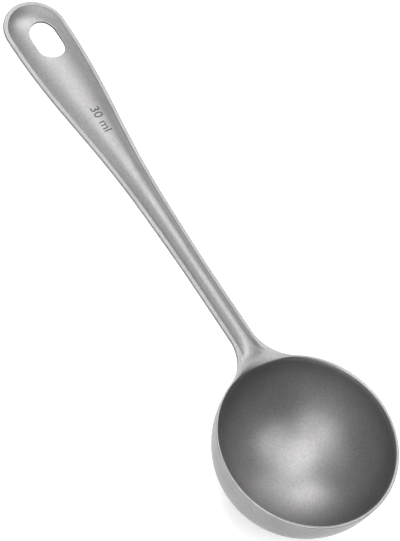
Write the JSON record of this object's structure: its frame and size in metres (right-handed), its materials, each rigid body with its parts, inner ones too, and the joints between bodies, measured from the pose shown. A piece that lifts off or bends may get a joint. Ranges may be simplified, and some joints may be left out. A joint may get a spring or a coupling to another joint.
{
  "type": "measuring spoon",
  "caption": "Pressed sheet metal measuring scoop: deep round bowl, long arched handle with flat borders and a slot to hang it by.",
  "frame": {"origin": "centre of the bowl's round mouth, on the plane of the rim's top face", "axes": "+Z out of the bowl's mouth, square to the rim; +X along the handle from the bowl to the tip; the scoop is the same on both sides of the XZ plane"},
  "size_m": [0.1673, 0.049, 0.0266],
  "materials": {
    "titanium": "bead-blasted matte grey titanium"
  },
  "bodies": {
    "root": {"spoon": "titanium"}
  },
  "joints": []
}
